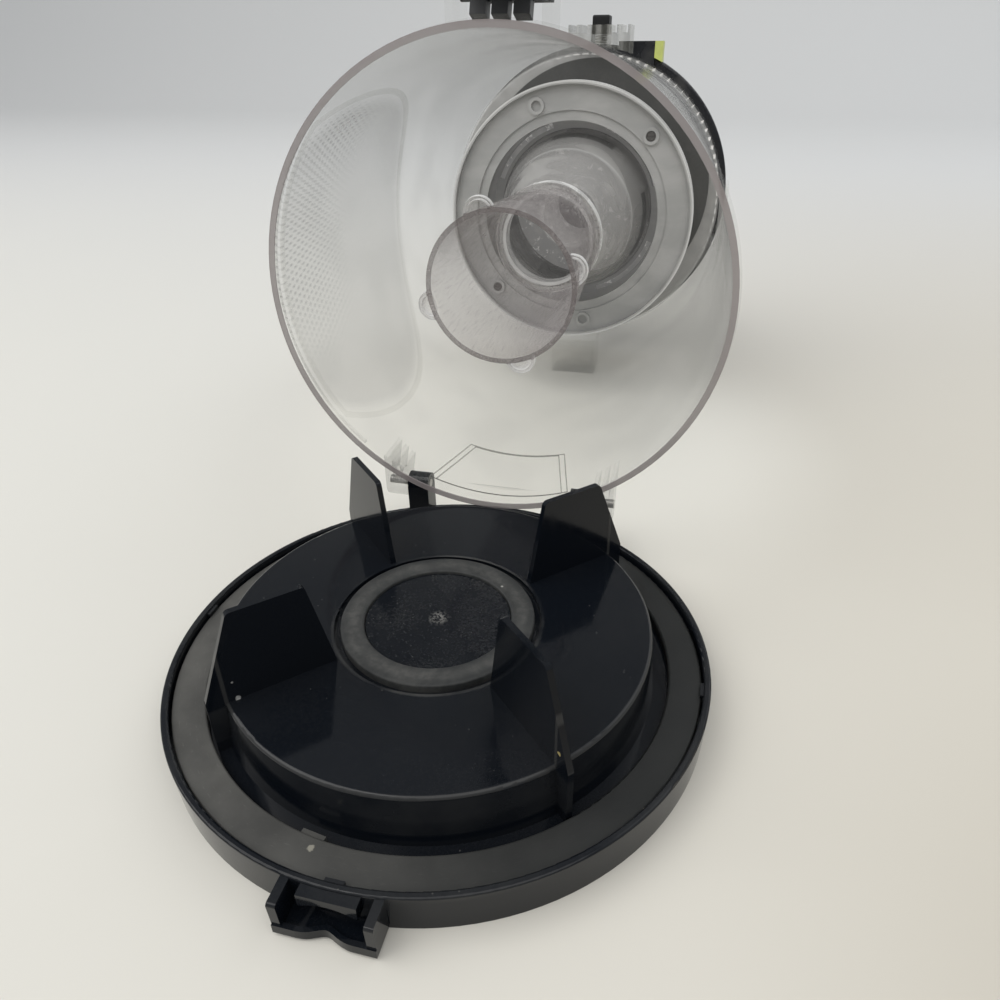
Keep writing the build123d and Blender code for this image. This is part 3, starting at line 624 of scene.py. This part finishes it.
shroud = Finish("shroud_smoke")
spot = tank_spot(shroud)
cloud = shroud.noise(spot, scale=55, detail=5)
grit = shroud.noise(spot, scale=620, detail=3)
film = shroud.between(cloud * 0.6 + grit * 0.4, 0.42, 0.72)
shroud.surface(
    Base_Color=shroud.blend(film * 0.16, shroud_smoke, house_dust),
    Roughness=0.38 + 0.25 * film,
    Specular_IOR_Level=0.4,
    Normal=shroud.bump(grit, strength=0.15, distance=0.0002),
)
dress(shroud, "separator_shroud")


# Ceiling seal and filter seal: soft pale rings that close the joints at the tank's shoulder.
# They are moulded in rubber, held by the pieces they sit between, and stained by dust.
seal_pale = (0.56, 0.555, 0.54)
seal_stain = (0.36, 0.35, 0.33)

soft = Finish("soft_seal")
spot = tank_spot(soft)
stain = soft.between(soft.noise(spot, scale=80, detail=4), 0.42, 0.75)
soft.surface(
    Base_Color=soft.blend(stain * 0.5, seal_pale, seal_stain),
    Roughness=0.55 + 0.2 * stain,
    Normal=soft.bump(soft.noise(spot, scale=700, detail=3), strength=0.15, distance=0.0002),
)
dress(soft, "ceiling_seal", "filter_seal")


# Separator plate: a milky grey translucent moulding with a thin lip, screw pads and arc
# slots. Flow lines of the moulding and dust make it cloudy. A painted highlight runs along
# the lip, and the recess is painted darker, as painted shade, with a faint painted glow.
plate_grey = (0.37, 0.37, 0.363)
plate_milky = (0.50, 0.495, 0.485)
recess_dark = (0.28, 0.277, 0.270)
recess_grey = (0.37, 0.365, 0.355)
recess_glow = (0.60, 0.59, 0.58)
lip_highlight = (0.80, 0.80, 0.79)
plate_speck = (0.72, 0.70, 0.65)
unlit = (0, 0, 0)
plate_radius = 0.0720
lip_edge = (plate_radius - 0.0014, plate_radius - 0.0005)
plate_height = 0.2040
recess_start = (plate_height, plate_height + 0.012)
flow_stretch = (1, 1, 2.2)

plate = Finish("separator_grey")
spot = tank_spot(plate)
x, y, z = plate.split(spot)
radius = plate.length(x, y)
flow = plate.noise(tank_spot(plate, flow_stretch), scale=34, detail=5)
grit = plate.noise(spot, scale=700, detail=3)
lip = plate.between(radius, *lip_edge)
deep = plate.between(z, *recess_start)
cloudy = plate.between(flow, 0.38, 0.70)
colour = plate.blend(cloudy * 0.55, plate_grey, plate_milky)
# Painted shade: the recess is painted darker, still clouded by the flow lines.
colour = plate.blend(deep, colour, plate.blend(cloudy, recess_dark, recess_grey))
# Painted highlight along the lip.
colour = plate.blend(lip * 0.6, colour, lip_highlight)
specks = plate.grains(spot, scale=240, size=0.10, share=0.05) * 0.5
plate.surface(
    Base_Color=plate.blend(specks, colour, plate_speck),
    Roughness=0.28 + 0.25 * cloudy,
    Specular_IOR_Level=0.45,
    Normal=plate.bump(flow + grit * 0.3, strength=0.12, distance=0.0005),
    # Painted glow in the recess.
    Emission_Color=plate.blend(deep, unlit, recess_glow),
    Emission_Strength=0.09,
)
dress(plate, "separator_base")


# Separator screws: two small slotted steel screws, sunk in the plate's pads.
# They are dark with use and have begun to rust.
screw_steel = (0.16, 0.155, 0.15)
screw_rust = (0.055, 0.045, 0.038)

screw = Finish("screw_steel")
spot = screw.place()
rust = screw.between(screw.noise(spot, scale=900, detail=4), 0.48, 0.72)
screw.surface(
    Base_Color=screw.blend(rust, screw_steel, screw_rust),
    Metallic=0.9 - 0.5 * rust,
    Roughness=0.35 + 0.3 * rust,
)
dress(screw, "separator_screws")


# Inner cyclone: a clear smoky cone with a spigot that stands in the dust tube.
# Fine dust has dried in pale streaks in it. A painted highlight makes a bright ring on its flank
# and at the spigot's end, the flank outside the ring is painted darker as painted shade, four dark
# arcs are painted shade of the plate's arc slots behind, and a painted glow lights it, most inside.
cone_grey = (0.45, 0.445, 0.437)
flank_grey = (0.30, 0.297, 0.290)
streak_pale = (0.66, 0.65, 0.63)
ring_white = (0.85, 0.85, 0.84)
groove_dark = (0.06, 0.06, 0.058)
flank_glow = (0.10, 0.10, 0.098)
inside_glow = (1.0, 0.99, 0.97)
cone_tint = (0.95, 0.945, 0.94)
flank_edge = 0.0380
flank_start = (flank_edge - 0.0003, flank_edge + 0.0003)
ring_line = (0.0007, 0.0002)
groove_radius = 0.0434
groove_line = (0.0010, 0.0007)
groove_turn = 0.122
groove_count = 4
spigot_low = 0.1332
spigot_end = (spigot_low + 0.0006, spigot_low + 0.0002)
inside_edge = (0.0240, 0.0236)
swirl_turn = 0.02

cone = Finish("cone_clear")
spot = tank_spot(cone)
x, y, z = cone.split(spot)
radius = cone.length(x, y)
angle = cone.maths("ARCTAN2", y, x)
swirl = cone.node("CombineXYZ", inputs={0: angle * swirl_turn, 1: 0.0, 2: z})
streaks = cone.between(cone.noise(swirl, scale=60, detail=0), 0.50, 0.70)
cloud = cone.between(cone.noise(spot, scale=45, detail=0), 0.38, 0.70)
outer = cone.between(radius, *flank_start)
ring = cone.between(cone.maths("ABSOLUTE", radius - flank_edge), *ring_line)
# Painted shade of the plate's arc slots: four dark arcs on the flank.
arc = cone.between(cone.maths("COSINE", (angle - groove_turn) * groove_count), -0.25, -0.10)
groove = arc * cone.between(cone.maths("ABSOLUTE", radius - groove_radius), *groove_line)
spigot = cone.between(z, *spigot_end)
inside = cone.between(radius, *inside_edge)
# Painted shade: the flank outside the ring is painted darker, like the recess round it.
colour = cone.blend(outer, cone_grey, flank_grey)
colour = cone.blend(streaks * 0.25 + cloud * 0.12, colour, streak_pale)
# Painted highlight on the ring and at the spigot's end.
colour = cone.blend(ring * 0.4 + spigot * 0.5, colour, ring_white)
cone.surface(
    Base_Color=cone.blend(groove * 0.85, colour, groove_dark),
    Roughness=0.16 + 0.25 * streaks,
    Specular_IOR_Level=0.5,
    Normal=cone.bump(cloud, strength=0.08, distance=0.0004),
    # Painted glow, strongest inside the spigot.
    Emission_Color=cone.blend(inside, flank_glow, inside_glow),
    Emission_Strength=0.14,
)
cover = 0.38 + 0.12 * streaks + 0.25 * outer + 0.3 * groove + 0.2 * spigot
cone.see_through(cover, cone_tint)
dress(cone, "cyclone_cone")


# Vortex finder: the grey outlet tube in the middle of the inner cyclone.
# Pale dust has caked on it in clumps, and it carries a painted glow, strongest on the clumps.
finder_grey = (0.46, 0.46, 0.455)
finder_film = (0.66, 0.65, 0.63)
clump_pale = (0.86, 0.85, 0.83)
finder_glow = (0.50, 0.49, 0.48)
clump_glow = (1.0, 0.99, 0.97)

finder = Finish("finder_grey")
spot = tank_spot(finder)
film = finder.between(finder.noise(spot, scale=90, detail=5), 0.40, 0.72)
clumps = finder.between(finder.noise(spot, scale=150, detail=5, coarse=0.7), 0.56, 0.62)
colour = finder.blend(film * 0.6, finder_grey, finder_film)
caked = clumps + finder.noise(spot, scale=500, detail=3)
finder.surface(
    Base_Color=finder.blend(clumps, colour, clump_pale),
    Roughness=0.35 + 0.3 * film,
    Normal=finder.bump(caked, strength=0.12, distance=0.0003),
    # Painted glow, strongest on the clumps.
    Emission_Color=finder.blend(clumps, finder_glow, clump_glow),
    Emission_Strength=0.20,
)
dress(finder, "vortex_finder")


# Dust tube: a clear tapering tube, faintly mauve, that fits over the cone's spigot.
# Its cut end looks brown and carries four clear hollow domes. It is scratched along its length
# and dusty towards the cone. Its domes, collar and far end carry painted highlights.
tube_mauve = (0.36, 0.33, 0.33)
tube_dust = (0.60, 0.59, 0.57)
tube_tint = (0.978, 0.972, 0.972)
cut_brown = (0.130, 0.108, 0.108)
edge_white = (0.80, 0.80, 0.79)
tube_end = 0.0302
tube_top = 0.1412
tube_reach = 0.0320
tube_taper = 0.0055 / 0.111
end_skin = (tube_end + 0.0006, tube_end + 0.0002)
wall_skin = (0.0006, 0.0002)
dome_skin = (0.0002, 0.0008)
dome_stop = (tube_end + 0.030, tube_end + 0.020)
collar_start = (tube_top - 0.0075, tube_top - 0.0068)
collar_edge = (0.0270, 0.0275)
far_skin = (tube_top - 0.0006, tube_top - 0.0002)
dust_start = (tube_top - 0.06, tube_top)
scratch_stretch = (1, 0.12, 1)

tube = Finish("tube_clear")
spot = tank_spot(tube)
x, y, z = tube.split(spot)
radius = tube.length(x, y)
beyond = radius - tube_reach + tube_taper * (z - tube_end)
cut_end = tube.between(z, *end_skin) * tube.between(beyond, *wall_skin)
on_dome = tube.between(beyond, *dome_skin) * tube.between(z, *dome_stop)
on_collar = tube.between(z, *collar_start) * tube.between(radius, *collar_edge)
far_end = tube.between(z, *far_skin)
scratch = tube.between(
    tube.noise(tank_spot(tube, scratch_stretch), scale=900, detail=0), 0.63, 0.72)
pale_share = (tube.between(z, *dust_start)
         * tube.between(tube.noise(spot, scale=110, detail=0), 0.35, 0.70))
facing = tube.node("LayerWeight", inputs={"Blend": 0.5}, output="Facing")
# Painted highlights on the domes, the collar and the far end; the domes are also made less clear at
# grazing angles.
bright = on_dome + on_collar + far_end
colour = tube.blend(cut_end, tube_mauve, cut_brown)
colour = tube.blend(pale_share * 0.6 + scratch * 0.2, colour, tube_dust)
tube.surface(
    Base_Color=tube.blend(bright, colour, edge_white),
    Roughness=0.07 + 0.30 * pale_share + 0.2 * scratch,
    Specular_IOR_Level=0.55,
)
haze = (0.035 + 0.12 * pale_share + 0.08 * scratch + 0.60 * cut_end + 0.45 * on_collar
        + 0.85 * far_end)
cover = haze + 0.75 * facing ** 4 + on_dome * (0.08 + 0.9 * facing ** 1.5)
tube.see_through(cover, tube_tint)
dress(tube, "dust_tube")


# Filter paper: white paper folded into a ring of pleats, glued between foot and end cap.
# It is painted grey in its folds and dark at the cap, as painted shade, and carries a faint
# painted glow.
paper_white = (0.93, 0.91, 0.88)
fold_grey = (0.36, 0.35, 0.335)
cap_shade = (0.05, 0.05, 0.055)
pleat_tip = 0.0852
fold_depth = (pleat_tip - 0.0006, pleat_tip - 0.0045)
media_top = 0.2890
cap_start = (media_top - 0.003, media_top)
cap_depth = (pleat_tip - 0.0010, pleat_tip - 0.005)

paper = Finish("filter_paper")
spot = tank_spot(paper)
x, y, z = paper.split(spot)
radius = paper.length(x, y)
deep = paper.between(radius, *fold_depth)
fibre = paper.noise(spot, scale=1600, detail=4)
dirt = paper.between(paper.noise(spot, scale=120, detail=4), 0.45, 0.75)
# Painted shade: the folds are painted grey deeper in, and dark under the cap.
at_cap = paper.between(z, *cap_start) * paper.between(radius, *cap_depth)
colour = paper.blend(deep * 0.70 + dirt * 0.08, paper_white, fold_grey)
paper.surface(
    Base_Color=paper.blend(at_cap * 0.85, colour, cap_shade),
    Roughness=0.85 + 0.1 * fibre,
    Specular_IOR_Level=0.2,
    Normal=paper.bump(fibre, strength=0.35, distance=0.0002),
    # Painted glow.
    Emission_Color=colour,
    Emission_Strength=0.20,
)
dress(paper, "filter_media")


# Filter foot and cage: a pale plastic ring under the pleats, and the cage inside them.
# The ends of the folds show in the foot as fine grey lines, and both pieces carry a faint
# painted glow.
foot_pale = (0.80, 0.785, 0.76)
foot_stain = (0.55, 0.54, 0.52)
fold_count = 96

foot = Finish("filter_foot")
spot = tank_spot(foot)
x, y, z = foot.split(spot)
stain = foot.between(foot.noise(spot, scale=60, detail=4), 0.42, 0.75)
fold = foot.between(
    foot.maths("COSINE", foot.maths("ARCTAN2", y, x) * fold_count), 0.2, 0.95)
colour = foot.blend(stain * 0.3, foot_pale, foot_stain)
foot.surface(
    Base_Color=foot.blend(fold * 0.6, colour, fold_grey),
    Roughness=0.40 + 0.2 * stain,
    Normal=foot.bump(fold, strength=0.2, distance=0.0004),
    # Painted glow.
    Emission_Color=colour,
    Emission_Strength=0.22,
)
dress(foot, "filter_base", "filter_cage")


# Filter cap: the black end ring of the cartridge, moulded in one with its pull tab's body.
# A thin film of dust and a few grains lie on it.
cap_black = (0.006, 0.0068, 0.0095)

cap = Finish("cap_black")
spot = tank_spot(cap)
film = cap.between(cap.noise(spot, scale=50, detail=5), 0.46, 0.78)
pale_share = film * 0.18 + cap.grains(spot, scale=260, size=0.12, share=0.08) * 0.4
cap.surface(
    Base_Color=cap.blend(pale_share, cap_black, house_dust),
    Roughness=0.24 + 0.25 * film,
    Specular_IOR_Level=0.45,
    Normal=cap.bump(cap.noise(spot, scale=800, detail=2), strength=0.1, distance=0.00015),
)
dress(cap, "filter_cap")


# Filter grip: the lime end of the pull tab, moulded onto the cap's black tab.
# Fingers have dulled it in patches.
grip_lime = (0.56, 0.62, 0.17)
grip_dull = (0.46, 0.51, 0.18)

grip = Finish("grip_lime")
spot = grip.place()
film = grip.between(grip.noise(spot, scale=140, detail=4), 0.45, 0.75)
grip.surface(
    Base_Color=grip.blend(film * 0.5, grip_lime, grip_dull),
    Roughness=0.35 + 0.2 * film,
    Normal=grip.bump(grip.noise(spot, scale=900, detail=2), strength=0.15, distance=0.00015),
)
dress(grip, "filter_grip")


# Table top: a pale matt sheet that sweeps up into the backdrop behind the bin.
# It turns warmer and darker to the right, has painted shade in the near right corner and a
# painted pool of light under the clear tank.
floor_half = 3.0
wall_height = 4.0
sweep_radius = 1.3
sweep_steps = 32
table_pale = (0.70, 0.690, 0.645)
table_warm = (0.62, 0.585, 0.510)
table_corner = (0.46, 0.42, 0.35)
table_lit = (0.88, 0.865, 0.80)
backdrop_grey = (0.74, 0.745, 0.740)
backdrop_start = (-0.1, 1.2)
warm_side = (-0.35, 0.45)
corner_right = (0.08, 0.30)
corner_near = (-0.05, -0.28)
lit_middle = 0.08
lit_reach = 0.19
lit_solid = 0.3

mesh = bmesh.new()
bmesh.ops.create_grid(mesh, x_segments=1, y_segments=1, size=floor_half)
back = max(mesh.edges, key=lambda edge: sum(vert.co.y for vert in edge.verts))
made = bmesh.ops.extrude_edge_only(mesh, edges=[back])
verts = [item for item in made["geom"] if isinstance(item, bmesh.types.BMVert)]
bmesh.ops.translate(mesh, verts=verts, vec=(0, 0, wall_height))
bmesh.ops.bevel(mesh, geom=[back], offset=sweep_radius, offset_type="OFFSET", affect="EDGES",
                segments=sweep_steps, profile=0.5, material=-1)
data = bpy.data.meshes.new("studio_floor")
mesh.to_mesh(data)
mesh.free()
data.shade_smooth()
floor = bpy.data.objects.new("studio_floor", data)
bpy.context.scene.collection.objects.link(floor)
table = Finish("table_top")
spot = table.place()
x, y, z = table.split(spot)
far = table.between(y, *backdrop_start)
rightward = table.between(x, *warm_side)
corner = table.between(x, *corner_right) * table.between(y, *corner_near)
under = table.between(table.length(x, y - lit_middle), lit_reach, lit_reach * lit_solid)
colour = table.blend(rightward, table_pale, table_warm)
# Painted shade in the near right corner.
colour = table.blend(corner, colour, table_corner)
# Painted pool of light under the clear tank.
colour = table.blend(under, colour, table_lit)
table.surface(
    Base_Color=table.blend(far, colour, backdrop_grey),
    Roughness=0.6 + 0.1 * table.noise(spot, scale=12, detail=0),
    Specular_IOR_Level=0.2,
)
data.materials.append(table.material)


# Studio light: three large soft lamps, the strongest from the upper left, and a pale even sky.
# They are set so that the door's black plateau mirrors none of them.
def add_light(name, place, aim, size, power, colour):
    """Soft square lamp that looks at a point."""
    data = bpy.data.lights.new(name, "AREA")
    data.size = size
    data.energy = power
    data.color = colour
    lamp = bpy.data.objects.new(name, data)
    lamp.location = place
    lamp.rotation_euler = (Vector(aim) - Vector(place)).to_track_quat("-Z", "Y").to_euler()
    bpy.context.scene.collection.objects.link(lamp)


lamp_warm = (1.0, 0.99, 0.97)
lamp_cool = (0.98, 0.99, 1.0)
sky_colour = (0.95, 0.97, 1.0, 1)
sky_strength = 0.46

add_light("key_light", place=(-1.4, -0.7, 1.9), aim=(0, 0.05, 0.05), size=2.0, power=30,
          colour=lamp_warm)
add_light("front_light", place=(0.5, -1.1, 2.1), aim=(0, 0.1, 0.05), size=2.4, power=24,
          colour=lamp_warm)
add_light("back_light", place=(1.3, 1.4, 1.9), aim=(0, 0.15, 0.05), size=2.0, power=10,
          colour=lamp_cool)
world = bpy.data.worlds.new("studio")
world.use_nodes = True
sky = world.node_tree.nodes["Background"]
sky.inputs["Color"].default_value = sky_colour
sky.inputs["Strength"].default_value = sky_strength
bpy.context.scene.world = world


# Camera: where the photo was taken from, fitted to the round edges of door and tank.
# The eye's place is measured from the middle of the door.
view_yaw = 0.25248
view_pitch = 0.55919
view_roll = -0.01730
view_focal = 0.781277
view_from = Vector((0.078245, -0.208923, 0.21827))
sensor_width = 36
nearest = 0.01

ahead = Vector((-sin(view_yaw) * cos(view_pitch), cos(view_yaw) * cos(view_pitch),
                -sin(view_pitch)))
right = Vector((cos(view_yaw), sin(view_yaw), 0))
up = right.cross(ahead)
rolled_right = cos(view_roll) * right + sin(view_roll) * up
rolled_up = cos(view_roll) * up - sin(view_roll) * right
camera = bpy.data.objects.new("photo_camera", bpy.data.cameras.new("photo_camera"))
camera.data.sensor_width = sensor_width
camera.data.lens = sensor_width * view_focal
camera.data.clip_start = nearest
pose = Matrix((rolled_right, rolled_up, -ahead)).transposed().to_4x4()
pose.translation = view_from + door_middle
camera.matrix_world = pose
bpy.context.scene.collection.objects.link(camera)
bpy.context.scene.camera = camera
bpy.context.scene.view_settings.view_transform = "Standard"
